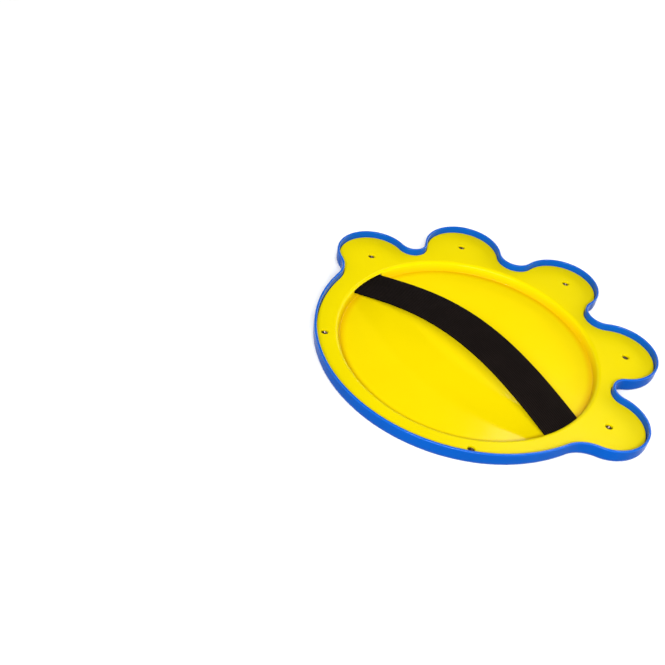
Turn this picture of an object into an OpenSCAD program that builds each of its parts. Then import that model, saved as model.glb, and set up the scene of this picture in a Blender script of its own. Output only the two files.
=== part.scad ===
// Catch paddle for a sucker ball: a five-lobed shell around a smooth round
// catching disc, with an elastic hand strap across the dished back.
// Millimetres. The catching face lies on z = 0 and the back points up (+Z).
// X runs along the hand strap, +Y points to the middle lobe.

/* [Outline] */
// Radius of the large round part of the outline
main_r = 100; // [96:0.5:104]
// Distance of the middle lobe's centre from the disc centre
lobe_c_d = 100.5; // [98:0.5:104]
// Radius of the middle lobe
lobe_c_r = 27.3; // [26:0.1:28.5]
// Distance of the upper lobes' centres from the disc centre
lobe_b_d = 98; // [96:0.5:102]
// Radius of the upper lobes
lobe_b_r = 27.5; // [26:0.1:28.5]
// Angle of the upper lobes from the middle lobe
lobe_b_a = 42.7; // [41.5:0.1:44]
// Distance of the side lobes' centres from the disc centre
lobe_a_d = 100.5; // [98:0.5:104]
// Radius of the side lobes
lobe_a_r = 25.5; // [24:0.1:27]
// Angle of the side lobes from the middle lobe
lobe_a_a = 82.5; // [81:0.1:84]
// Radius of the hollows beside the middle lobe
valley_cb_r = 11.4; // [9:0.1:14]
// Radius of the hollows between upper and side lobes
valley_ba_r = 9; // [7:0.1:12]
// Radius of the hollows where the side lobes run into the round
end_r = 20; // [15:0.5:26]

/* [Shell] */
// Level of the shell's front face above the catching face
shell_z = 0.8; // [0.4:0.1:1.2]
// Level of the shell's back edge
shell_top = 12; // [11.5:0.1:13]
// Wall thickness of the shell
shell_t = 1.6; // [1.4:0.1:1.8]
// Radius of the rounded shoulder at the front
shoulder_r = 5; // [4:0.1:5.5]
// Radial gap between the shell's opening and the catching disc
disc_gap = 0.8; // [0.5:0.1:1.2]

/* [Spiral ornament] */
// Distance of each spiral's centre from the disc centre
spiral_d = 103; // [102:0.5:104]
// Step of the spiral for each half turn
spiral_step = 3; // [2.6:0.1:3.2]
// Radius of the innermost half turn
spiral_r0 = 2; // [1.6:0.1:2.4]
// Number of half turns
spiral_n = 5; // [3:1:5]
// Width of the raised line
spiral_w = 1.2; // [0.8:0.1:1.6]
// Height of the raised line
spiral_h = 0.5; // [0.3:0.1:0.6]

/* [Catch plate] */
// Radius of the catching disc
disc_r = 84.3; // [82:0.1:85]
// Wall thickness of the catch plate
plate_t = 1.5; // [1.4:0.1:1.6]
// Level of the plate's back face
plate_z = 7.6; // [7.4:0.1:7.8]
// Thickness of the catching disc
disc_t = 1.4; // [1.2:0.1:1.6]
// Radius of the rounded edge between the plate and the dish wall
lip_r = 3; // [2.8:0.1:3.2]
// Slope of the dish wall from upright, in degrees
dish_draft = 16; // [13:1:18]
// Gap between the plate's edge and the shell's wall
plate_gap = 0.3; // [0.2:0.1:0.5]

/* [Hand strap] */
// Width of the elastic strap
strap_w = 28.8; // [25:0.1:29]
// Thickness of the elastic strap
strap_t = 1.2; // [1:0.1:1.2]
// Place of the strap's middle line
strap_y = -8.8; // [-10:0.1:-8]
// Level of the strap's crown, at mid thickness
strap_crown = 24.9; // [22:0.1:28]
// Fall of the arch's shoulders below a plain parabola
arch_fall = 4; // [0:0.5:5]
// Lean of the arch towards the right end
arch_lean = 0.9; // [0:0.1:1.5]
// Level at which the strap enters its slots, at mid thickness
strap_in_z = 5; // [4.9:0.1:5.1]

/* [Screws] */
// Radius of the screw heads
head_r = 2.1; // [1.8:0.1:2.2]
// Radius of the pockets that hold the screw heads
pocket_r = 2.35; // [2.3:0.05:2.5]
// Outer radius of the screw threads
thread_r = 1.1; // [1:0.05:1.2]
// Distance of the middle lobe's screw from the disc centre
screw_c_d = 109; // [107:0.5:111]
// Distance of the upper lobes' screws from the disc centre
screw_b_d = 105.5; // [104:0.5:108]
// Distance of the side lobes' screws from the disc centre
screw_a_d = 102; // [100.5:0.5:104]
// Distance of the lower screws from the disc centre
screw_r_d = 92.9; // [92.5:0.1:93.2]
// Angle of the lower screws from the bottom of the outline
screw_r_a = 41.3; // [38:0.1:45]

/* [Hidden] */
$fn = 96;

blue = [0.01, 0.33, 0.80];
yellow = [0.99, 0.88, 0.02];
black = [0.10, 0.09, 0.09];
steel = [0.42, 0.36, 0.30];
thread = [0.16, 0.15, 0.15];

// ---- outline: one large round, five lobes and the hollows between them ----
function pol(d, a) = [d * cos(a), d * sin(a)];
function dir(p) = atan2(p[1], p[0]);
// the point at distance ra from a and rb from b, on the left of a->b for s = 1
function meet(a, ra, b, rb, s) =
    let (d = norm(b - a), x = (d * d + ra * ra - rb * rb) / (2 * d), h = sqrt(ra * ra - x * x),
         u = (b - a) / d, n = [-u[1], u[0]]) a + u * x + n * (s * h);
lobe_angle = [90 - lobe_a_a, 90 - lobe_b_a, 90, 90 + lobe_b_a, 90 + lobe_a_a];
lobe_dist = [lobe_a_d, lobe_b_d, lobe_c_d, lobe_b_d, lobe_a_d];
lobe_rad = [lobe_a_r, lobe_b_r, lobe_c_r, lobe_b_r, lobe_a_r];
screw_dist = [screw_a_d, screw_b_d, screw_c_d, screw_b_d, screw_a_d];
valley_rad = [valley_ba_r, valley_cb_r, valley_cb_r, valley_ba_r];
lobe = [for (i = [0:4]) pol(lobe_dist[i], lobe_angle[i])];
valley = [for (i = [0:3]) meet(lobe[i], lobe_rad[i] + valley_rad[i], lobe[i + 1], lobe_rad[i + 1] + valley_rad[i], -1)];
end0 = meet([0, 0], main_r + end_r, lobe[0], lobe_a_r + end_r, -1);
end1 = meet([0, 0], main_r + end_r, lobe[4], lobe_a_r + end_r, 1);
// centres of the hollows before and after each lobe
function before(i) = i == 0 ? end0 : valley[i - 1];
function after(i) = i == 4 ? end1 : valley[i];
function up(a0, a1) = a1 < a0 ? up(a0, a1 + 360) : a1;
function down(a0, a1) = a1 > a0 ? down(a0, a1 - 360) : a1;
// arcs in order round the outline: [1 bulging / -1 hollow, centre, radius, first angle, last angle]
function bulge(c, r, from, to) = let (a = dir(from - c)) [1, c, r, a, up(a, dir(to - c))];
function hollow(c, r, from, to) = let (a = dir(from - c)) [-1, c, r, a, down(a, dir(to - c))];
arcs = concat(
    [hollow(end0, end_r, [0, 0], lobe[0])],
    [for (i = [0:4]) each concat(
        [bulge(lobe[i], lobe_rad[i], before(i), after(i))],
        i < 4 ? [hollow(valley[i], valley_rad[i], lobe[i], lobe[i + 1])] : [])],
    [hollow(end1, end_r, lobe[4], [0, 0])],
    [bulge([0, 0], main_r, end1, end0)]);
// points of the outline moved inwards by q; the steps keep within 0.12 mm of the true arcs
function step_angle(r) = 2 * acos(1 - 0.12 / r);
function inset(q) = [for (k = arcs) let (n = ceil(abs(k[4] - k[3]) / step_angle(k[2])))
    for (j = [0:n - 1]) k[1] + pol(k[2] - k[0] * q, k[3] + (k[4] - k[3]) * j / n)];

// a wall section carried all the way round the outline; section points are [inward distance, level]
module wall_round(section) {
    rings = [for (p = section) inset(p[0])];
    m = len(rings[0]);
    n = len(section);
    polyhedron(
        [for (i = [0:n - 1]) each [for (p = rings[i]) [p[0], p[1], section[i][1]]]],
        [for (i = [0:n - 1], j = [0:m - 1]) let (k = (i + 1) % n, l = (j + 1) % m)
            each [[i * m + j, k * m + j, k * m + l], [i * m + j, k * m + l, i * m + l]]],
        convexity = 8);
}

flat_q = 8;
face_top = shell_z + shell_t;
wall_section = concat(
    [[flat_q, face_top], [flat_q, shell_z]],
    [for (a = [0:22.5:90]) [shoulder_r * (1 - sin(a)), shell_z + shoulder_r * (1 - cos(a))]],
    [[0, shell_top], [shell_t, shell_top]],
    [for (a = [90:-30:0]) [shoulder_r - (shoulder_r - shell_t) * sin(a), shell_z + shoulder_r - (shoulder_r - shell_t) * cos(a)]]);

// ---- screws: five on the lobes, two on the lower round ----
seat_z = plate_z - 2;          // the heads sit here
cup_z = seat_z - 1;            // underside of the pockets, top of the shell's posts
tip_z = shell_z + 1.1;
lobe_screw_at = [for (i = [0:4]) pol(screw_dist[i], lobe_angle[i])];
rim_screw_at = [pol(screw_r_d, 270 - screw_r_a), pol(screw_r_d, 270 + screw_r_a)];
screw_at = concat(lobe_screw_at, rim_screw_at);

module screw() {
    difference() {
        union() {
            translate([0, 0, seat_z]) cylinder(r = head_r, h = 0.8);
            translate([0, 0, seat_z + 0.8]) cylinder(r1 = head_r, r2 = head_r - 0.7, h = 0.5);
        }
        for (a = [0, 90]) rotate(a) translate([-1.3, -0.3, seat_z + 0.6]) cube([2.6, 0.6, 1]);
    }
    translate([0, 0, tip_z + 0.6]) cylinder(r = thread_r, h = seat_z - tip_z - 0.6);
    translate([0, 0, tip_z]) cylinder(r1 = 0.4, r2 = thread_r, h = 0.6);
}

// ---- one spiral: half turns about two centres, unwinding clockwise as seen from the front ----
module spiral()
    for (i = [0:spiral_n - 1])
        translate([(i % 2) * spiral_step, 0, 0]) rotate(180 * i)
            rotate_extrude(angle = 180)
                translate([spiral_r0 + spiral_step * i - spiral_w / 2, shell_z - spiral_h])
                    square([spiral_w, spiral_h + 0.4]);

// ---- front shell: face, rounded shoulder, wall, screw posts and raised spirals ----
module front_shell() color(blue) difference() {
    union() {
        wall_round(wall_section);
        translate([0, 0, shell_z]) linear_extrude(shell_t) polygon(inset(flat_q - 1.5));
        for (p = screw_at) translate([p[0], p[1], face_top - 0.2]) cylinder(r = 3.2, h = cup_z - face_top + 0.2);
        for (a = lobe_angle) rotate(a) translate([spiral_d, 0, 0]) spiral();
    }
    translate([0, 0, shell_z - 1]) cylinder(r = disc_r + disc_gap, h = 6, $fn = 180);
    for (p = screw_at) translate([p[0], p[1], tip_z - 0.1]) cylinder(r = thread_r - 0.15, h = 6);
}

// ---- catch plate: the flat back, the dish and the catching disc are one moulding ----
wall_in = disc_r - plate_t;
lip_z = plate_z - lip_r;
// centre of the lip's round section, which runs tangent into the sloping wall
lip_c = [wall_in + (lip_z + lip_r * sin(dish_draft) - disc_t) * tan(dish_draft) + lip_r * cos(dish_draft), lip_z];
// radius of the dish wall at a level, on its back and on its front
function wall_back(z) = wall_in + (z - disc_t) * tan(dish_draft);
function wall_front(z) = wall_back(z) + plate_t / cos(dish_draft);
// six points of a round section about c, from angle a to angle b
function bend(c, r, a, b) = [for (i = [0:6]) let (t = a + (b - a) * i / 6) c + r * [cos(t), sin(t)]];
edge_r = 0.8;
dish_section = concat(
    [[0, 0]],
    bend([wall_front(edge_r) - edge_r / cos(dish_draft), edge_r], edge_r, -90, -dish_draft),
    bend(lip_c, lip_r - plate_t, 180 - dish_draft, 90),
    [[lip_c[0] + 1.2, plate_z - plate_t], [lip_c[0] + 1.2, plate_z]],
    bend(lip_c, lip_r, 90, 180 - dish_draft),
    bend([wall_back(disc_t + edge_r) - edge_r / cos(dish_draft), disc_t + edge_r], edge_r, -dish_draft, -90),
    [[0, disc_t]]);
slot_low = strap_in_z - 1.8;
slot_high = strap_in_z + 1.2;
slot_half = strap_w / 2 + 0.8;

module catch_plate() color(yellow) difference() {
    union() {
        difference() {
            translate([0, 0, plate_z - plate_t]) linear_extrude(plate_t) polygon(inset(shell_t + plate_gap));
            translate([0, 0, plate_z - 3]) cylinder(r = lip_c[0] + 0.6, h = 6, $fn = 180);
        }
        rotate_extrude($fn = 180) polygon(dish_section);
        for (p = screw_at) translate([p[0], p[1], cup_z]) cylinder(r = 3.6, h = plate_z - plate_t / 2 - cup_z);
    }
    for (p = screw_at) translate([p[0], p[1], 0]) {
        translate([0, 0, seat_z]) cylinder(r = pocket_r, h = 4);
        translate([0, 0, 0.5]) cylinder(r = thread_r + 0.2, h = 8);
    }
    // slots through the dish wall for the strap's ends
    for (s = [-1, 1])
        translate([s > 0 ? disc_r - 14 : -disc_r - 4, strap_y - slot_half, slot_low])
            cube([18, 2 * slot_half, slot_high - slot_low]);
}

// ---- hand strap: one elastic band, its ends folded round a bar inside the rim ----
// place where the strap passes the dish wall, which is round
function wall_x(y) = sqrt(pow(disc_r - 0.8, 2) - y * y);
layer_z = face_top + 0.1 + strap_t / 2;       // lower layer of the folded end
fold_r = (plate_z - plate_t - 0.1 - strap_t / 2 - layer_z) / 2;
fold_at = 12;
// the strap's middle line in [distance past the wall, level] after the wall
tail = concat(
    [[1.5, strap_in_z - 0.7], [3, strap_in_z - 1.3], [4.5, layer_z + 0.3], [6, layer_z], [9, layer_z], [fold_at, layer_z]],
    [for (a = [-60:30:60]) [fold_at + fold_r * cos(a), layer_z + fold_r + fold_r * sin(a)]],
    [[fold_at, layer_z + 2 * fold_r], [9, layer_z + 2 * fold_r], [6.8, layer_z + 2 * fold_r]]);
arch_n = 22;
half_n = arch_n + len(tail);
// point of the middle surface: i runs from the left end to the right end
function arch(u) = strap_in_z + (1 - u * u) * (strap_crown - strap_in_z - arch_fall * u * u + arch_lean * u);
function strap_mid(i, y) = abs(i) <= arch_n
    ? [wall_x(y) * i / arch_n, arch(i / arch_n)]
    : let (p = tail[abs(i) - arch_n - 1]) [sign(i) * (wall_x(y) + p[0]), p[1]];
function strap_nrm(i, y) = let (a = strap_mid(max(i - 1, -half_n), y), b = strap_mid(min(i + 1, half_n), y), d = (b - a) / norm(b - a)) [-d[1], d[0]];
strap_ys = [for (j = [0:6]) strap_y - strap_w / 2 + strap_w * j / 6];
function strap_pt(i, y, s) = let (p = strap_mid(i, y) + strap_nrm(i, y) * (s * strap_t / 2)) [p[0], y, p[1]];
ring_n = 2 * len(strap_ys);
strap_points = [for (i = [-half_n:half_n]) each concat(
    [for (y = strap_ys) strap_pt(i, y, 1)],
    [for (j = [len(strap_ys) - 1:-1:0]) strap_pt(i, strap_ys[j], -1)])];
strap_rings = 2 * half_n + 1;
strap_faces = concat(
    [for (e = [0, strap_rings - 1], j = [0:len(strap_ys) - 2]) let (a = e * ring_n + j, b = e * ring_n + ring_n - 1 - j)
        each (e > 0 ? [[a, a + 1, b], [a + 1, b - 1, b]] : [[a, b, a + 1], [a + 1, b, b - 1]])],
    [for (i = [0:strap_rings - 2], j = [0:ring_n - 1]) let (a = i * ring_n + j, b = i * ring_n + (j + 1) % ring_n)
        each [[a, b, b + ring_n], [a, b + ring_n, a + ring_n]]]);

module hand_strap() color(black) polyhedron(strap_points, strap_faces, convexity = 8);

// ---- flat bars inside the strap's folded ends ----
bar_tilt = asin(-strap_y / (disc_r - 0.8));
bar_t = 1;
bar_w = 3;
bar_len = 34;
module anchor_bar() translate([wall_x(strap_y) + 9.3, strap_y, layer_z + fold_r - bar_t / 2]) rotate(-bar_tilt) {
    translate([-bar_w / 2, -bar_len / 2, 0]) cube([bar_w, bar_len, bar_t]);
    for (s = [-1, 1]) translate([0, s * bar_len / 2, 0]) cylinder(r = bar_w / 2, h = bar_t, $fn = 48);
}
module anchor_bar_right() color(steel) anchor_bar();
module anchor_bar_left() color(steel) mirror([1, 0, 0]) anchor_bar();

// ---- one row of stitches that closes each fold ----
stitch_n = 8;
module stitches() for (j = [0:stitch_n - 1]) let (y = strap_y - strap_w / 2 + 2.5 + (strap_w - 5) * j / (stitch_n - 1))
    translate([wall_x(y) + 7.2, y, layer_z - strap_t / 2]) cylinder(r = 0.25, h = 2 * fold_r + strap_t, $fn = 24);
module strap_stitching_right() color(thread) stitches();
module strap_stitching_left() color(thread) mirror([1, 0, 0]) stitches();

module lobe_screws() color(steel) for (p = lobe_screw_at) translate([p[0], p[1], 0]) screw();
module rim_screws() color(steel) for (p = rim_screw_at) translate([p[0], p[1], 0]) screw();

front_shell();
catch_plate();
hand_strap();
anchor_bar_left();
anchor_bar_right();
strap_stitching_left();
strap_stitching_right();
lobe_screws();
rim_screws();
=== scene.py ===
"""Looks for the catch paddle: smooth mouldings, ribbed elastic strap, screws, finishes, camera and studio."""
import math

import bmesh
import bpy
import numpy as np
from mathutils import Matrix, Vector
from mathutils.geometry import delaunay_2d_cdt


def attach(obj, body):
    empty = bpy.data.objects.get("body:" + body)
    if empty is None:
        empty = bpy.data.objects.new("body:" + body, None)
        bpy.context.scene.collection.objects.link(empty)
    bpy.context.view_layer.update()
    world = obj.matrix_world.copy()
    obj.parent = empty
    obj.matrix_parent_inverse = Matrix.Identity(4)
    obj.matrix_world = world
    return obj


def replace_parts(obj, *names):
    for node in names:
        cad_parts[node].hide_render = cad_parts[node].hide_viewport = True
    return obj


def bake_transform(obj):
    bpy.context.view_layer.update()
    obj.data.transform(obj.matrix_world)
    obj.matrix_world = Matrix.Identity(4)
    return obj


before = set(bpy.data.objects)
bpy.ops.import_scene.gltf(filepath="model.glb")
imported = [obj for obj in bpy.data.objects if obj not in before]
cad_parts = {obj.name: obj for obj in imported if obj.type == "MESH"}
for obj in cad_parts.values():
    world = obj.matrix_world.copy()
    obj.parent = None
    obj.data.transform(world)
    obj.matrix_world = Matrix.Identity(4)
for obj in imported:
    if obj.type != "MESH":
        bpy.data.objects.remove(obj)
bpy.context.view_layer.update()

MM = 0.001

# ------------------------------------------------------------------ outline
# One large round, five lobes and the hollows between them (millimetres).
MAIN_R, END_R = 100.0, 20.0
LOBE_A = [7.5, 47.3, 90.0, 132.7, 172.5]
LOBE_D = [100.5, 98.0, 100.5, 98.0, 100.5]
LOBE_R = [25.5, 27.5, 27.3, 27.5, 25.5]
VALLEY_R = [9.0, 11.4, 11.4, 9.0]


def pol(d, deg):
    a = math.radians(deg)
    return np.array([d * math.cos(a), d * math.sin(a)])


def meet(a, ra, b, rb, s):
    d = np.linalg.norm(b - a)
    x = (d * d + ra * ra - rb * rb) / (2 * d)
    u = (b - a) / d
    return a + u * x + np.array([-u[1], u[0]]) * (s * math.sqrt(ra * ra - x * x))


LOBE = [pol(d, a) for d, a in zip(LOBE_D, LOBE_A)]
VALLEY = [meet(LOBE[i], LOBE_R[i] + VALLEY_R[i], LOBE[i + 1], LOBE_R[i + 1] + VALLEY_R[i], -1) for i in range(4)]
ORIGIN2 = np.zeros(2)
END0 = meet(ORIGIN2, MAIN_R + END_R, LOBE[0], LOBE_R[0] + END_R, -1)
END1 = meet(ORIGIN2, MAIN_R + END_R, LOBE[4], LOBE_R[4] + END_R, 1)


def arc(sign, c, r, a, b):
    """An arc about c from towards a to towards b: counter-clockwise if it bulges, clockwise in a hollow."""
    t0, t1 = math.atan2(*(a - c)[::-1]), math.atan2(*(b - c)[::-1])
    while sign > 0 and t1 < t0:
        t1 += 2 * math.pi
    while sign < 0 and t1 > t0:
        t1 -= 2 * math.pi
    return sign, c, r, t0, t1


ARCS = [arc(-1, END0, END_R, ORIGIN2, LOBE[0])]
for i in range(5):
    before = END0 if i == 0 else VALLEY[i - 1]
    after = END1 if i == 4 else VALLEY[i]
    ARCS.append(arc(1, LOBE[i], LOBE_R[i], before, after))
    if i < 4:
        ARCS.append(arc(-1, VALLEY[i], VALLEY_R[i], LOBE[i], LOBE[i + 1]))
ARCS.append(arc(-1, END1, END_R, LOBE[4], ORIGIN2))
ARCS.append(arc(1, ORIGIN2, MAIN_R, END1, END0))


def outline(step):
    """Points of the outline and their outward normals, about step millimetres apart."""
    p, n = [], []
    for sign, c, r, t0, t1 in ARCS:
        k = max(6, math.ceil(abs(t1 - t0) * r / step))
        for j in range(k):
            t = t0 + (t1 - t0) * j / k
            e = np.array([math.cos(t), math.sin(t)])
            p.append(c + r * e)
            n.append(sign * e)
    return np.array(p), np.array(n)


OUT_P, OUT_N = outline(1.3)
N_OUT = len(OUT_P)

SCREW_D = [102.0, 105.5, 109.0, 105.5, 102.0]
LOBE_SCREWS = [pol(d, a) for d, a in zip(SCREW_D, LOBE_A)]
RIM_SCREWS = [pol(92.9, 270 - 41.3), pol(92.9, 270 + 41.3)]
ALL_SCREWS = LOBE_SCREWS + RIM_SCREWS


# ------------------------------------------------------------------ mesh helpers
class Shape:
    """Collects vertices (millimetres) and faces of one piece."""

    def __init__(self):
        self.v, self.f, self.n = [], [], 0

    def points(self, pts):
        pts = np.asarray(pts, float).reshape(-1, 3)
        self.v.append(pts)
        first = self.n
        self.n += len(pts)
        return list(range(first, self.n))

    def grid(self, rings, close_ring=True, close_sweep=False, caps=False):
        """Quads between neighbouring rings, each a list of vertex numbers of one length."""
        m = len(rings[0])
        pairs = list(zip(rings, rings[1:])) + ([(rings[-1], rings[0])] if close_sweep else [])
        for a, b in pairs:
            for j in range(m if close_ring else m - 1):
                k = (j + 1) % m
                self.f.append((a[j], a[k], b[k], b[j]))
        if caps:
            self.f.append(tuple(reversed(rings[0])))
            self.f.append(tuple(rings[-1]))

    def fan(self, ring, tip):
        m = len(ring)
        for j in range(m):
            self.f.append((ring[j], ring[(j + 1) % m], tip))

    def make(self, name, material, weld=0.0, sharp=38.0, weighted=True, uv=None):
        me = bpy.data.meshes.new(name)
        me.from_pydata((np.concatenate(self.v) * MM).tolist(), [], self.f)
        if uv is not None:
            layer = me.uv_layers.new(name="weave")
            loops = np.zeros(len(me.loops), np.int32)
            me.loops.foreach_get("vertex_index", loops)
            layer.data.foreach_set("uv", np.asarray(uv, np.float32)[loops].ravel())
        bm = bmesh.new()
        bm.from_mesh(me)
        if weld:
            bmesh.ops.remove_doubles(bm, verts=bm.verts, dist=weld * MM)
        bmesh.ops.recalc_face_normals(bm, faces=bm.faces)
        bm.to_mesh(me)
        bm.free()
        me.shade_smooth()
        if sharp:
            me.set_sharp_from_angle(angle=math.radians(sharp))
        else:
            # only the flat ends of a sweep are creased
            for p in me.polygons:
                if p.loop_total > 12:
                    for i in p.loop_indices:
                        me.edges[me.loops[i].edge_index].use_edge_sharp = True
        ob = bpy.data.objects.new(name, me)
        bpy.context.scene.collection.objects.link(ob)
        me.materials.append(material)
        if weighted:
            wn = ob.modifiers.new("face_weighted_normals", "WEIGHTED_NORMAL")
            wn.mode = "FACE_AREA"
            wn.keep_sharp = True
        return ob


def circle(r, z, n, at=(0.0, 0.0), turn=0.0):
    t = np.linspace(0, 2 * np.pi, n, endpoint=False) + turn
    return np.c_[at[0] + r * np.cos(t), at[1] + r * np.sin(t), np.full(n, z)]


def lathe(shape, profile, n, at=(0.0, 0.0), cap_first=False, cap_last=False):
    rings = [shape.points(circle(r, z, n, at)) for r, z in profile]
    shape.grid(rings)
    if cap_first:
        shape.f.append(tuple(reversed(rings[0])))
    if cap_last:
        shape.f.append(tuple(rings[-1]))
    return rings


def steps(a, b, n):
    return [math.radians(a + (b - a) * i / n) for i in range(n + 1)]


def fill_flat(shape, z, outer, holes):
    """Triangles between an outer loop and holes, all given as lists of vertex numbers with their points."""
    loops = [outer] + holes
    pts, ids, edges, owner = [], [], [], []
    for which, (numbers, xy) in enumerate(loops):
        k = len(pts)
        pts += [Vector((float(p[0]), float(p[1]))) for p in xy]
        ids += list(numbers)
        owner += [which] * len(xy)
        edges += [(k + j, k + (j + 1) % len(xy)) for j in range(len(xy))]
    got = delaunay_2d_cdt(pts, edges, [], 0, 1e-5)
    xy_new, faces, orig = got[0], got[2], got[3]
    outer_xy = np.array([[p[0], p[1]] for p in outer[1]])
    x0, y0 = outer_xy[:, 0], outer_xy[:, 1]
    x1, y1 = np.roll(x0, -1), np.roll(y0, -1)
    for f in faces:
        if any(not orig[i] for i in f):
            continue
        loop = {owner[orig[i][0]] for i in f}
        if len(loop) == 1 and loop != {0}:      # the holes are round, so this one lies in a hole
            continue
        c = np.mean([[xy_new[i][0], xy_new[i][1]] for i in f], axis=0)
        crosses = ((y0 > c[1]) != (y1 > c[1])) & (c[0] < (x1 - x0) * (c[1] - y0) / np.where(y1 == y0, 1e-12, y1 - y0) + x0)
        if crosses.sum() % 2 == 0:
            continue
        shape.f.append(tuple(ids[orig[i][0]] for i in f))


# ------------------------------------------------------------------ materials
def node(tree, kind, **values):
    n = tree.nodes.new(kind)
    for k, v in values.items():
        setattr(n, k, v)
    return n


def new_material(name):
    mat = bpy.data.materials.new(name)
    mat.use_nodes = True
    tree = mat.node_tree
    bsdf = tree.nodes["Principled BSDF"]
    return mat, tree, bsdf


def noise(tree, coords, scale, detail=3.0, rough=0.55):
    n = node(tree, "ShaderNodeTexNoise")
    n.inputs["Scale"].default_value = scale
    n.inputs["Detail"].default_value = detail
    n.inputs["Roughness"].default_value = rough
    tree.links.new(coords, n.inputs["Vector"])
    return n.outputs["Fac"]


def ramp(tree, fac, a, b, lo=0.3, hi=0.7):
    r = node(tree, "ShaderNodeValToRGB")
    r.color_ramp.elements[0].position, r.color_ramp.elements[1].position = lo, hi
    r.color_ramp.elements[0].color, r.color_ramp.elements[1].color = (*a, 1), (*b, 1)
    tree.links.new(fac, r.inputs["Fac"])
    return r.outputs["Color"]


def remap(tree, value, lo, hi, a, b, smooth=False):
    m = node(tree, "ShaderNodeMapRange")
    if smooth:
        m.interpolation_type = "SMOOTHSTEP"
    m.inputs["From Min"].default_value, m.inputs["From Max"].default_value = lo, hi
    m.inputs["To Min"].default_value, m.inputs["To Max"].default_value = a, b
    tree.links.new(value, m.inputs["Value"])
    return m.outputs["Result"]


def math_node(tree, op, a, b=None):
    m = node(tree, "ShaderNodeMath", operation=op)
    for i, x in enumerate((a, b)):
        if x is None:
            continue
        if isinstance(x, (int, float)):
            m.inputs[i].default_value = x
        else:
            tree.links.new(x, m.inputs[i])
    return m.outputs[0]


def bump(tree, height, strength, distance):
    b = node(tree, "ShaderNodeBump")
    b.inputs["Strength"].default_value = strength
    b.inputs["Distance"].default_value = distance
    tree.links.new(height, b.inputs["Height"])
    return b.outputs["Normal"]


def blue_plastic(name, gain, lo, hi, specular):
    mat, t, b = new_material(name)
    co = node(t, "ShaderNodeTexCoord").outputs["Object"]
    t.links.new(ramp(t, noise(t, co, 26.0), (0.0002, 0.044 * gain, 0.224 * gain), (0.0003, 0.049 * gain, 0.248 * gain)), b.inputs["Base Color"])
    t.links.new(remap(t, noise(t, co, 140.0, 4.0), 0.25, 0.75, lo, hi), b.inputs["Roughness"])
    t.links.new(bump(t, noise(t, co, 900.0, 2.0), 0.05, 0.0002), b.inputs["Normal"])
    b.inputs["Specular IOR Level"].default_value = specular
    return mat


def yellow_plastic(name, lo, hi, specular, red=0.582, green=0.449, shade_radii=None):
    """The last argument gives radii in metres between which the yellow is painted a deeper orange: painted shade in
    the fold of the dish wall.
    """
    mat, t, b = new_material(name)
    co = node(t, "ShaderNodeTexCoord").outputs["Object"]
    base = ramp(t, noise(t, co, 22.0), (red - 0.010, green - 0.009, 0.0004), (red + 0.010, green + 0.008, 0.0006))
    if shade_radii:
        flat = node(t, "ShaderNodeVectorMath", operation="MULTIPLY")
        t.links.new(co, flat.inputs[0])
        flat.inputs[1].default_value = (1.0, 1.0, 0.0)
        length = node(t, "ShaderNodeVectorMath", operation="LENGTH")
        t.links.new(flat.outputs["Vector"], length.inputs[0])
        r = length.outputs["Value"]
        # painted shade: mix towards a deeper orange yellow between the given radii
        fold_shade_amount = math_node(t, "MULTIPLY", remap(t, r, shade_radii[0], shade_radii[1], 0.0, 1.0, True),
                           remap(t, r, shade_radii[2], shade_radii[3], 1.0, 0.0, True))
        fold_shade_colour = ramp(t, noise(t, co, 22.0), (0.540, 0.335, 0.0004), (0.560, 0.348, 0.0006))
        mix = node(t, "ShaderNodeMix", data_type="RGBA")
        t.links.new(fold_shade_amount, mix.inputs[0])
        t.links.new(base, mix.inputs[6])
        t.links.new(fold_shade_colour, mix.inputs[7])
        base = mix.outputs[2]
    t.links.new(base, b.inputs["Base Color"])
    t.links.new(remap(t, noise(t, co, 160.0, 4.0), 0.25, 0.75, lo, hi), b.inputs["Roughness"])
    t.links.new(bump(t, noise(t, co, 1100.0, 2.0), 0.03, 0.0002), b.inputs["Normal"])
    b.inputs["Specular IOR Level"].default_value = specular
    return mat


def strap_fabric(pitch):
    """Woven elastic: lengthwise ribs with short crosswise picks, staggered from rib to rib."""
    mat, t, b = new_material("black_elastic")
    uv = node(t, "ShaderNodeUVMap", uv_map="weave").outputs["UV"]
    sep = node(t, "ShaderNodeSeparateXYZ")
    t.links.new(uv, sep.inputs[0])
    across, along = sep.outputs["X"], sep.outputs["Y"]
    rib = math_node(t, "FLOOR", math_node(t, "MULTIPLY", across, 1.0 / pitch))
    shift = math_node(t, "MULTIPLY", math_node(t, "MODULO", rib, 2.0), 0.5)
    pick = math_node(t, "FRACT", math_node(t, "ADD", math_node(t, "MULTIPLY", along, 1.0 / 0.9), shift))
    loop = math_node(t, "SINE", math_node(t, "MULTIPLY", pick, math.pi))
    fuzz_co = node(t, "ShaderNodeTexCoord").outputs["Object"]
    fuzz = noise(t, fuzz_co, 2600.0, 3.0)
    slow = noise(t, fuzz_co, 60.0, 3.0)
    height = math_node(t, "ADD", loop, math_node(t, "MULTIPLY", fuzz, 0.35))
    ridge = math_node(t, "ABSOLUTE", math_node(t, "SINE", math_node(t, "MULTIPLY", across, math.pi / pitch)))
    # colour follows the weave's relief: lighter on rib and pick crowns and nearly black in the grooves between ribs,
    # painted highlight and painted shade; the slow noise is the elastic's own uneven tone
    shade = math_node(t, "ADD", math_node(t, "MULTIPLY", ridge, 0.6),
                      math_node(t, "ADD", math_node(t, "MULTIPLY", loop, 0.2), math_node(t, "MULTIPLY", slow, 0.2)))
    t.links.new(ramp(t, shade, (0.0002, 0.0002, 0.0001), (0.0165, 0.0112, 0.0098), 0.52, 0.98), b.inputs["Base Color"])
    t.links.new(remap(t, fuzz, 0.2, 0.8, 0.72, 0.9), b.inputs["Roughness"])
    t.links.new(bump(t, height, 0.5, 0.00012), b.inputs["Normal"])
    b.inputs["Specular IOR Level"].default_value = 0.015
    return mat


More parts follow.
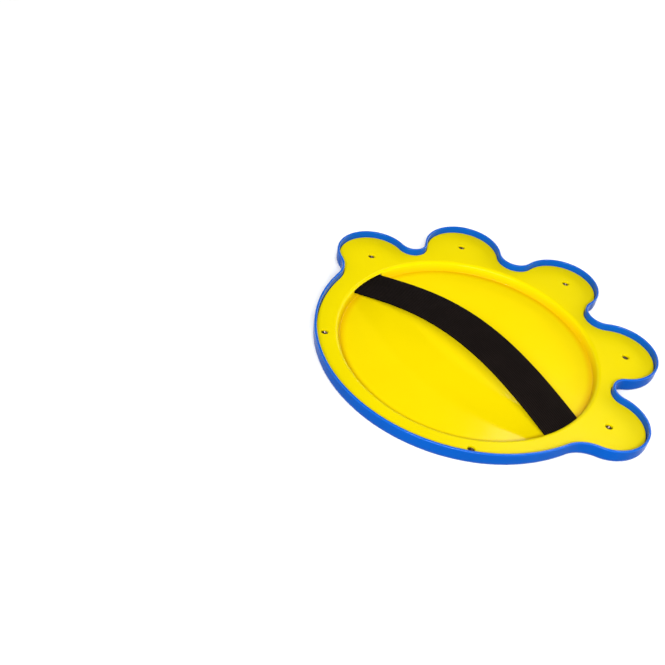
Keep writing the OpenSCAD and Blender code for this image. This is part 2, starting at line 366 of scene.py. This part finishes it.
def thread_fabric():
    mat, t, b = new_material("sewing_thread")
    co = node(t, "ShaderNodeTexCoord").outputs["Object"]
    n = noise(t, co, 3000.0, 2.0)
    t.links.new(ramp(t, n, (0.016, 0.014, 0.013), (0.034, 0.031, 0.029)), b.inputs["Base Color"])
    t.links.new(bump(t, n, 0.5, 0.0001), b.inputs["Normal"])
    b.inputs["Roughness"].default_value = 0.8
    return mat


def steel(name, dark, light, lo, hi):
    mat, t, b = new_material(name)
    co = node(t, "ShaderNodeTexCoord").outputs["Object"]
    n = noise(t, co, 700.0, 4.0)
    t.links.new(ramp(t, n, dark, light), b.inputs["Base Color"])
    t.links.new(remap(t, noise(t, co, 2200.0, 3.0), 0.25, 0.75, lo, hi), b.inputs["Roughness"])
    t.links.new(bump(t, n, 0.08, 0.0001), b.inputs["Normal"])
    b.inputs["Metallic"].default_value = 1.0
    return mat


def floor_paint():
    mat, t, b = new_material("pale_floor")
    co = node(t, "ShaderNodeTexCoord").outputs["Object"]
    t.links.new(ramp(t, noise(t, co, 9.0, 5.0), (0.78, 0.78, 0.78), (0.80, 0.80, 0.80)), b.inputs["Base Color"])
    b.inputs["Roughness"].default_value = 0.9
    b.inputs["Specular IOR Level"].default_value = 0.1
    return mat


N_RIB = 20
RIB = 28.8 / N_RIB
M_BLUE = blue_plastic("blue_gloss_plastic", 1.03, 0.16, 0.24, 0.03)
# top edge of the blue shell: polished, and its blue painted lighter, a painted highlight
M_EDGE_HIGHLIGHT = blue_plastic("blue_polished_edge_painted_highlight", 1.5, 0.12, 0.18, 0.18)
# inner side of the blue skirt: the same blue painted lighter, painted light
M_WALL_LIT = blue_plastic("blue_gloss_wall_painted_light", 1.42, 0.16, 0.24, 0.08)
M_STRAP = strap_fabric(RIB)
# the catching disc is polished, its dish is glossy and the flat back round it is satin; the dish yellow is painted
# lighter than the flat back, painted light
# radii in metres of the painted shade: the yellow turns deeper orange towards the fold of the dish wall
PAINTED_FOLD_SHADE = (0.0775, 0.0826, 0.0826, 0.0849)
M_FRONT = yellow_plastic("yellow_polished_plastic", 0.05, 0.09, 0.5)
M_DISH_LIT = yellow_plastic("yellow_gloss_dish_painted_light", 0.10, 0.14, 0.048, 0.617, 0.479, PAINTED_FOLD_SHADE)
M_FLAT = yellow_plastic("yellow_satin_plastic", 0.16, 0.22, 0.02, 0.545, 0.443, PAINTED_FOLD_SHADE)
M_THREAD = thread_fabric()
M_SCREW = steel("dark_screw_steel", (0.070, 0.047, 0.038), (0.13, 0.092, 0.074), 0.27, 0.38)
M_BAR = steel("plain_steel_strip", (0.36, 0.34, 0.32), (0.48, 0.46, 0.43), 0.35, 0.5)

# ------------------------------------------------------------------ front shell
SHELL_Z, SHELL_TOP, WALL, SHOULDER = 0.8, 12.0, 1.6, 5.0
OPEN_R = 85.1
FACE_TOP = SHELL_Z + WALL


def front_shell():
    s = Shape()
    section = [("c", OPEN_R + 0.15, FACE_TOP), ("c", OPEN_R, FACE_TOP - 0.15), ("c", OPEN_R, SHELL_Z + 0.45)]
    section += [("c", OPEN_R + 0.45 * (1 - math.cos(a)), SHELL_Z + 0.45 * (1 - math.sin(a))) for a in steps(0, 90, 5)[1:]]
    section += [("c", OPEN_R + 0.8, SHELL_Z), ("o", SHOULDER + 0.6, SHELL_Z)]
    section += [("o", SHOULDER * (1 - math.sin(a)), SHELL_Z + SHOULDER * (1 - math.cos(a))) for a in steps(0, 90, 16)]
    section += [("o", 0, 8.6), ("o", 0, SHELL_TOP - 0.6)]
    section += [("o", 0.6 * (1 - math.cos(a)), SHELL_TOP - 0.6 + 0.6 * math.sin(a)) for a in steps(0, 90, 6)[1:]]
    section += [("o", WALL - 0.6 + 0.6 * math.sin(a), SHELL_TOP - 0.6 + 0.6 * math.cos(a)) for a in steps(0, 90, 6)]
    section += [("o", WALL, 8.6), ("o", WALL, SHELL_Z + SHOULDER)]
    r = SHOULDER - WALL
    section += [("o", SHOULDER - r * math.sin(a), SHELL_Z + SHOULDER - r * math.cos(a)) for a in steps(90, 0, 8)[1:]]
    section += [("o", SHOULDER + 0.6, FACE_TOP)]
    theta = np.arctan2(*(OUT_P - SHOULDER * OUT_N).T[::-1])
    ray = np.c_[np.cos(theta), np.sin(theta)]
    rings = []
    for kind, a, z in section:
        xy = OUT_P - a * OUT_N if kind == "o" else a * ray
        rings.append(s.points(np.c_[xy, np.full(N_OUT, z)]))
    s.grid(rings, close_sweep=True)
    # screw posts, each with its pilot hole
    for p in ALL_SCREWS:
        lathe(s, [(0.95, 1.8), (0.95, 4.6), (3.05, 4.6), (3.2, 4.45), (3.2, FACE_TOP - 0.7)], 32, p, True, True)
    # a raised spiral on each lobe, half turns about two centres
    phi = np.linspace(0, 5 * np.pi, 5 * 64 + 1)
    half = np.minimum((phi / np.pi).astype(int), 4)
    r = 2.0 + 3.0 * half
    path = np.c_[(half % 2) * 3.0 + r * np.cos(phi), r * np.sin(phi)]
    out = np.c_[np.cos(phi), np.sin(phi)]
    seg = np.r_[0, np.cumsum(np.linalg.norm(np.diff(path, axis=0), axis=1))]
    end = np.minimum(seg, seg[-1] - seg)
    grow = np.sqrt(np.clip(1 - (1 - np.clip(end / 1.1, 0, 1)) ** 2, 0, 1))
    bell = [(-1.05, -0.04), (-0.86, 0.02), (-0.68, 0.14), (-0.52, 0.31), (-0.34, 0.44), (-0.15, 0.49), (0, 0.5),
            (0.15, 0.49), (0.34, 0.44), (0.52, 0.31), (0.68, 0.14), (0.86, 0.02), (1.05, -0.04)]
    for a in LOBE_A:
        turn = np.array([[math.cos(math.radians(a)), -math.sin(math.radians(a))], [math.sin(math.radians(a)), math.cos(math.radians(a))]])
        rows = []
        for k in range(len(phi)):
            row = []
            for w, h in bell:
                xy = path[k] + out[k] * (w * (0.25 + 0.75 * grow[k]))
                x, y = turn @ (xy + np.array([103.0, 0.0]))
                row.append((x, y, SHELL_Z - (h * grow[k] if h > 0 else h)))
            rows.append(s.points(row))
        s.grid(rows, close_ring=True, caps=True)
    ob = s.make("front_shell_moulding", M_BLUE)
    ob.data.materials.append(M_EDGE_HIGHLIGHT)
    ob.data.materials.append(M_WALL_LIT)
    for f in ob.data.polygons:
        x, y, z = (c / MM for c in f.center)
        # top edge: polished blue painted lighter, a painted highlight
        if z > SHELL_TOP - 0.6:
            f.material_index = 1
        # inner side of the skirt: blue painted lighter, painted light
        elif z > 7.0 and np.hypot(*(OUT_P - np.array([x, y])).T).min() > 0.5 * WALL:
            f.material_index = 2
    return ob


# ------------------------------------------------------------------ catch plate
PLATE_Z, PLATE_T, DISC_R, DISC_T, LIP_R, EDGE_R = 7.6, 1.5, 84.3, 1.4, 3.0, 0.8
DRAFT = math.radians(16)
WALL_IN = DISC_R - PLATE_T
LIP_Z = PLATE_Z - LIP_R
LIP_C = (WALL_IN + (LIP_Z + LIP_R * math.sin(DRAFT) - DISC_T) * math.tan(DRAFT) + LIP_R * math.cos(DRAFT), LIP_Z)
SLOT_LOW, SLOT_HIGH = 3.2, 6.2
N_TURN = 720


def wall_back(z):
    return WALL_IN + (z - DISC_T) * math.tan(DRAFT)


def wall_front(z):
    return wall_back(z) + PLATE_T / math.cos(DRAFT)


def bend(c, r, a, b, n):
    """Points of a round section about c, from angle a to angle b in degrees."""
    return [(c[0] + r * math.cos(t), c[1] + r * math.sin(t)) for t in steps(a, b, n)]


def catch_plate():
    s = Shape()
    slope = math.degrees(DRAFT)
    lip_hit = 180 - math.degrees(math.asin((SLOT_HIGH - LIP_C[1]) / LIP_R))
    fillet = (wall_back(DISC_T + EDGE_R) - EDGE_R / math.cos(DRAFT), DISC_T + EDGE_R)
    top = [(r, DISC_T) for r in (8, 20, 36, 52, 66, 76, 80)]
    top += bend(fillet, EDGE_R, -90, -slope, 6)
    top += [(wall_back(SLOT_LOW), SLOT_LOW)]
    i_low = len(top) - 1
    top += [(wall_back(4.3), 4.3)] + bend(LIP_C, LIP_R, 180 - slope, lip_hit, 3)
    i_high = len(top) - 1
    top += bend(LIP_C, LIP_R, lip_hit, 90, 9)[1:]
    corner = (wall_front(EDGE_R) - EDGE_R / math.cos(DRAFT), EDGE_R)
    low = [(r, 0.0) for r in (8, 20, 36, 52, 66, 76, 81)]
    low += bend(corner, EDGE_R, -90, -slope, 6)
    low += [(wall_front(SLOT_LOW), SLOT_LOW)]
    j_low = len(low) - 1
    low += bend(LIP_C, LIP_R - PLATE_T, 180 - slope, 90, 8)
    j_high = len(low) - 1
    tops = [s.points(circle(r, z, N_TURN)) for r, z in top]
    lows = [s.points(circle(r, z, N_TURN)) for r, z in low]
    s.fan(tops[0], s.points([(0, 0, DISC_T)])[0])
    s.fan(lows[0], s.points([(0, 0, 0)])[0])
    slots = [(-33, 9), (351, 393)]
    in_slot = {k % N_TURN for a, b in slots for k in range(a, b)}
    for rings, cut in ((tops, (i_low, i_high)), (lows, (j_low, j_high))):
        for i in range(len(rings) - 1):
            for k in range(N_TURN):
                if cut[0] <= i < cut[1] and k in in_slot:
                    continue
                m = (k + 1) % N_TURN
                s.f.append((rings[i][k], rings[i][m], rings[i + 1][m], rings[i + 1][k]))
    for a, b in slots:
        for k in range(a, b):
            k0, k1 = k % N_TURN, (k + 1) % N_TURN
            s.f.append((tops[i_low][k0], tops[i_low][k1], lows[j_low][k1], lows[j_low][k0]))
            s.f.append((tops[i_high][k0], tops[i_high][k1], lows[j_high][k1], lows[j_high][k0]))
        for k in (a % N_TURN, b % N_TURN):
            s.f.append(tuple([tops[i][k] for i in range(i_low, i_high + 1)] + [lows[j][k] for j in range(j_high, j_low - 1, -1)]))
    # flat back with its screw pockets, rounded edge and underside
    edge = [(2.25, PLATE_Z), (2.12, PLATE_Z - 0.04), (1.99, PLATE_Z - 0.14), (1.9, PLATE_Z - 0.35), (1.9, PLATE_Z - PLATE_T)]
    rims = [s.points(np.c_[OUT_P - q * OUT_N, np.full(N_OUT, z)]) for q, z in edge]
    s.grid(rims)
    n = 40
    pocket = [(2.65 - 0.3 * math.sin(a), PLATE_Z - 0.3 + 0.3 * math.cos(a)) for a in steps(0, 90, 5)]
    pocket += [(2.35, 5.75), (2.2, 5.6), (1.3, 5.6), (1.3, 4.6), (3.45, 4.6), (3.6, 4.75), (3.6, PLATE_Z - PLATE_T)]
    tops_of, lows_of = [], []
    for p in ALL_SCREWS:
        rings = lathe(s, pocket, n, p)
        tops_of.append((rings[0], circle(pocket[0][0], 0, n, p)))
        lows_of.append((rings[-1], circle(pocket[-1][0], 0, n, p)))
    lip = circle(LIP_C[0], 0, N_TURN)
    fill_flat(s, PLATE_Z, (rims[0], OUT_P - edge[0][0] * OUT_N), [(tops[-1], lip)] + tops_of)
    fill_flat(s, PLATE_Z - PLATE_T, (rims[-1], OUT_P - edge[-1][0] * OUT_N), [(lows[-1], lip)] + lows_of)
    ob = s.make("catch_plate_moulding", M_DISH_LIT)
    ob.data.materials.append(M_FLAT)
    ob.data.materials.append(M_FRONT)
    for f in ob.data.polygons:
        r = math.hypot(f.center[0], f.center[1]) / MM
        if r > LIP_C[0] or (r > wall_back(LIP_Z + 0.8) and f.normal[2] > 0.25):
            f.material_index = 1
        elif f.normal[2] < 0:
            f.material_index = 2
    return ob


# ------------------------------------------------------------------ screws
SEAT = 5.6


def one_screw():
    """A pan-head self-tapping screw with a cross recess, standing at the origin."""
    s = Shape()
    n = 36
    head = [(1.15, SEAT), (2.0, SEAT), (2.1, SEAT + 0.1), (2.1, SEAT + 0.5)]
    head += [(2.1 * math.cos(a) ** 0.8 if a < 1.5 else 0.3, SEAT + 0.5 + 0.8 * math.sin(a)) for a in steps(12, 78, 7)]
    rings = lathe(s, [(1.15, SEAT - 0.3)] + head, n)
    s.f.append(tuple(rings[-1]))
    s.f.append(tuple(reversed(rings[0])))
    ob = s.make("screw_head_blank", M_SCREW, sharp=0, weighted=False)
    cut = Shape()
    for turn in (0.0, 90.0):
        c, d = math.cos(math.radians(turn)), math.sin(math.radians(turn))
        rows = []
        for half, wide, z in ((0.28, 0.12, SEAT + 0.35), (1.3, 0.33, SEAT + 1.6)):
            q = [(-half, -wide), (half, -wide), (half, wide), (-half, wide)]
            rows.append(cut.points([(c * x - d * y, d * x + c * y, z) for x, y in q]))
        cut.grid(rows, caps=True)
    tool = cut.make("recess_tool", M_SCREW, sharp=0, weighted=False)
    m = ob.modifiers.new("recess", "BOOLEAN")
    m.operation, m.object, m.solver, m.use_self = "DIFFERENCE", tool, "EXACT", True
    bpy.context.view_layer.update()
    done = bpy.data.meshes.new_from_object(ob.evaluated_get(bpy.context.evaluated_depsgraph_get()))
    bm = bmesh.new()
    bm.from_mesh(done)
    bm.verts.ensure_lookup_table()
    verts = np.array([v.co[:] for v in bm.verts]) / MM
    faces = [tuple(v.index for v in f.verts) for f in bm.faces]
    bm.free()
    for o in (ob, tool):
        me = o.data
        bpy.data.objects.remove(o)
        bpy.data.meshes.remove(me)
    bpy.data.meshes.remove(done)
    # threaded shank
    t = Shape()
    zs = np.linspace(SEAT, 2.5, 64)
    ang = np.linspace(0, 2 * np.pi, 20, endpoint=False)
    rows = []
    for z in zs:
        phase = np.abs(((z / 0.85 - ang / (2 * np.pi)) % 1.0) - 0.5) * 2
        r = 0.84 + 0.26 * np.clip(1 - phase * 1.7, 0, 1)
        rows.append(t.points(np.c_[r * np.cos(ang), r * np.sin(ang), np.full(20, z)]))
    t.grid(rows)
    t.f.append(tuple(reversed(rows[0])))
    t.fan(rows[-1], t.points([(0, 0, 1.95)])[0])
    return verts, faces, np.concatenate(t.v), t.f


def screws(name, places, turns, parts):
    s = Shape()
    for p, turn in zip(places, turns):
        c, d = math.cos(math.radians(turn)), math.sin(math.radians(turn))
        rot = np.array([[c, -d, 0], [d, c, 0], [0, 0, 1]])
        for v, f in ((parts[0], parts[1]), (parts[2], parts[3])):
            first = s.points(v @ rot.T + np.array([p[0], p[1], 0.0]))[0]
            s.f += [tuple(first + i for i in face) for face in f]
    return s.make(name, M_SCREW, sharp=35)


# ------------------------------------------------------------------ hand strap
STRAP_W, STRAP_T, STRAP_Y, CROWN, IN_Z = 28.8, 1.2, -8.8, 24.9, 5.0
FALL, LEAN = 4.0, 0.9
LAYER_Z = FACE_TOP + 0.1 + STRAP_T / 2
FOLD_R = (PLATE_Z - PLATE_T - 0.1 - STRAP_T / 2 - LAYER_Z) / 2
FOLD_AT = 12.0


def wall_x(y):
    return np.sqrt((DISC_R - 0.8) ** 2 - y * y)


def smooth_path(pts, n):
    """A Catmull-Rom curve through pts with n points between neighbours."""
    p = np.array(pts, float)
    p = np.vstack([2 * p[0] - p[1], p, 2 * p[-1] - p[-2]])
    got = []
    for i in range(1, len(p) - 2):
        for j in range(n):
            t = j / n
            a, b, c, d = p[i - 1], p[i], p[i + 1], p[i + 2]
            got.append(0.5 * (2 * b + (c - a) * t + (2 * a - 5 * b + 4 * c - d) * t * t + (3 * b - a - 3 * c + d) * t ** 3))
    got.append(p[-2])
    return np.array(got)


def strap_half(name, side):
    """Half of the elastic strap, from its crown through the slot and round the anchor bar."""
    na = 112
    u = np.linspace(0, 1, na + 1)
    tail = [(0, IN_Z), (1.5, IN_Z - 0.7), (3, IN_Z - 1.3), (4.5, LAYER_Z + 0.3), (6, LAYER_Z), (9, LAYER_Z), (FOLD_AT, LAYER_Z)]
    tail += [(FOLD_AT + FOLD_R * math.cos(a), LAYER_Z + FOLD_R + FOLD_R * math.sin(a)) for a in steps(-60, 60, 4)]
    tail += [(FOLD_AT, LAYER_Z + 2 * FOLD_R), (9, LAYER_Z + 2 * FOLD_R), (6.8, LAYER_Z + 2 * FOLD_R)]
    tail = smooth_path(tail, 3)[1:]
    half = STRAP_W / 2
    across = -half + STRAP_W * np.arange(0, N_RIB * 6 + 1) / (N_RIB * 6)
    under = -half + STRAP_W * np.arange(0, N_RIB * 4 + 1) / (N_RIB * 4)

    def thick(s):
        ridge = np.abs(np.sin(np.pi * (s + half) / RIB)) ** 0.6
        edge = np.sqrt(np.clip(1 - np.clip((np.abs(s) - (half - 0.5)) / 0.5, 0, 1) ** 2, 0, 1))
        return (STRAP_T / 2 - 0.26 + 0.26 * ridge) * (0.25 + 0.75 * edge)

    loop_s = np.r_[across, under[::-1][1:-1]]
    loop_h = np.r_[thick(across), -thick(under[::-1][1:-1])]
    y = STRAP_Y + loop_s
    wx = wall_x(y)
    x = np.concatenate([u[:, None] * wx[None, :], wx[None, :] + tail[:, 0][:, None]])
    arch = IN_Z + (1 - u ** 2) * (CROWN - IN_Z - FALL * u ** 2 + side * LEAN * u)
    z = np.concatenate([arch, tail[:, 1]])[:, None] * np.ones_like(wx)[None, :]
    dx, dz = np.gradient(x, axis=0), np.gradient(z, axis=0)
    dx[0], dz[0] = wx, side * LEAN
    ln = np.hypot(dx, dz)
    nx, nz = -dz / ln, dx / ln
    px, pz = x + nx * loop_h, z + nz * loop_h
    s = Shape()
    mid = len(across) // 2
    along = np.r_[0, np.cumsum(np.hypot(np.diff(x[:, mid]), np.diff(z[:, mid])))]
    rings, uv = [], []
    for i in range(len(px)):
        rings.append(s.points(np.c_[side * px[i], y, pz[i]]))
        uv.append(np.c_[loop_s + half, np.full(len(y), 120.0 + side * along[i])])
    s.grid(rings, caps=True)
    return s.make(name, M_STRAP, sharp=0, weighted=False, uv=np.concatenate(uv)), along[-1]


def tube(shape, path, r, n=8):
    path = np.asarray(path, float)
    tan = np.gradient(path, axis=0)
    tan /= np.linalg.norm(tan, axis=1)[:, None]
    up = np.array([1.0, 0.0, 0.0])
    rows = []
    for p, t in zip(path, tan):
        up = up - t * (up @ t)
        up /= np.linalg.norm(up)
        side = np.cross(t, up)
        a = np.linspace(0, 2 * np.pi, n, endpoint=False)
        rows.append(shape.points(p + r * (np.cos(a)[:, None] * up + np.sin(a)[:, None] * side)))
    shape.grid(rows, caps=True)


def stitching(name, side):
    """One running stitch through both layers of the folded end."""
    s = Shape()
    ys = [STRAP_Y - STRAP_W / 2 + 2.5 + (STRAP_W - 5) * j / 7 for j in range(8)]
    z0, z1 = LAYER_Z - STRAP_T / 2 + 0.2, LAYER_Z + 2 * FOLD_R + STRAP_T / 2 - 0.2
    pts = []
    for j, yy in enumerate(ys):
        a, b = (z0, z1) if j % 2 == 0 else (z1, z0)
        x = side * (wall_x(yy) + 7.2)
        pts += [(x, yy, a + (b - a) * k) for k in (0.0, 0.25, 0.5, 0.75, 1.0)]
        if j < 7:
            ym = (yy + ys[j + 1]) / 2
            pts.append((side * (wall_x(ym) + 7.2), ym, b + (0.05 if b == z1 else -0.05)))
    tube(s, smooth_path(pts, 4), 0.22)
    return s.make(name, M_THREAD, sharp=0, weighted=False)


# ------------------------------------------------------------------ pieces on their bodies
shell = front_shell()
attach(shell, "paddle"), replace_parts(shell, "front_shell"), shell
plate = catch_plate()
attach(plate, "paddle"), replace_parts(plate, "catch_plate"), plate
screw_parts = one_screw()
for nm, cad, places, turns in (("lobe_screw_set", "lobe_screws", LOBE_SCREWS, (12, 57, 33, 78, 21)),
                               ("rim_screw_set", "rim_screws", RIM_SCREWS, (40, 5))):
    ob = screws(nm, places, turns, screw_parts)
    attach(ob, "paddle"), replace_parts(ob, cad), ob
for nm, side in (("hand_strap_left_half", -1), ("hand_strap_right_half", 1)):
    ob, length = strap_half(nm, side)
    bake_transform(ob)
    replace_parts(ob, "hand_strap"), ob
for nm, side in (("left", -1), ("right", 1)):
    ob = stitching(f"stitching_row_{nm}", side)
    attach(ob, "paddle"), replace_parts(ob, f"strap_stitching_{nm}"), ob
    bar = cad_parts[f"anchor_bar_{nm}"]
    bar.data.materials.clear()
    bar.data.materials.append(M_BAR)

# ------------------------------------------------------------------ studio
scene = bpy.context.scene
me = bpy.data.meshes.new("floor")
me.from_pydata([(x, y, -0.0002) for x, y in ((-4, -4), (4, -4), (4, 4), (-4, 4))], [], [(0, 1, 2, 3)])
floor = bpy.data.objects.new("floor", me)
scene.collection.objects.link(floor)
me.materials.append(floor_paint())

world = bpy.data.worlds.new("studio")
scene.world = world
world.use_nodes = True
# a pale band near the horizon under a dark ceiling, like a white cyclorama
wt = world.node_tree
up = node(wt, "ShaderNodeSeparateXYZ")
wt.links.new(node(wt, "ShaderNodeTexCoord").outputs["Generated"], up.inputs[0])
wt.links.new(remap(wt, up.outputs["Z"], 0.36, 0.52, 1.8, 0.10, True), wt.nodes["Background"].inputs["Strength"])
wt.nodes["Background"].inputs["Color"].default_value = (1.0, 1.0, 1.0, 1)


def softbox(name, at, aim, size, power):
    lamp = bpy.data.lights.new(name, "AREA")
    lamp.shape, lamp.size, lamp.size_y = "RECTANGLE", size[0], size[1]
    lamp.energy = power
    ob = bpy.data.objects.new(name, lamp)
    scene.collection.objects.link(ob)
    ob.location = at
    ob.rotation_mode = "QUATERNION"
    ob.rotation_quaternion = (Vector(aim) - Vector(at)).to_track_quat("-Z", "Y")
    return ob


softbox("front_softbox", (0.6094, -0.9808, 1.0144), (0.0, 0.0, 0.0), (1.1, 0.26), 43.0)
softbox("back_low_softbox", (0.30, 1.50, 0.52), (0.0, 0.0, 0.0), (2.2, 0.5), 20.0)
softbox("back_small_softbox", (-0.345, 1.17, 1.30), (0.05, -0.03, 0.0), (0.32, 0.30), 4.0)

# ------------------------------------------------------------------ camera
az, el, roll = math.radians(39.612), math.radians(40.368), math.radians(10.284)
back = Vector((math.sin(az) * math.cos(el), -math.cos(az) * math.cos(el), math.sin(el)))
right0 = Vector((math.cos(az), math.sin(az), 0))
down0 = (-back).cross(right0)
right = right0 * math.cos(roll) - down0 * math.sin(roll)
down = right0 * math.sin(roll) + down0 * math.cos(roll)
cam_data = bpy.data.cameras.new("camera")
cam_data.sensor_width, cam_data.lens = 36.0, 36.0 * 965.185 / 665
cam_data.clip_start, cam_data.clip_end = 0.01, 50
cam = bpy.data.objects.new("camera", cam_data)
scene.collection.objects.link(cam)
cam.matrix_world = Matrix(((right[0], -down[0], back[0], 0.238003), (right[1], -down[1], back[1], -0.423691),
                           (right[2], -down[2], back[2], 0.40185), (0, 0, 0, 1)))
scene.camera = cam
scene.view_settings.view_transform = "Standard"
scene.view_settings.look = "None"
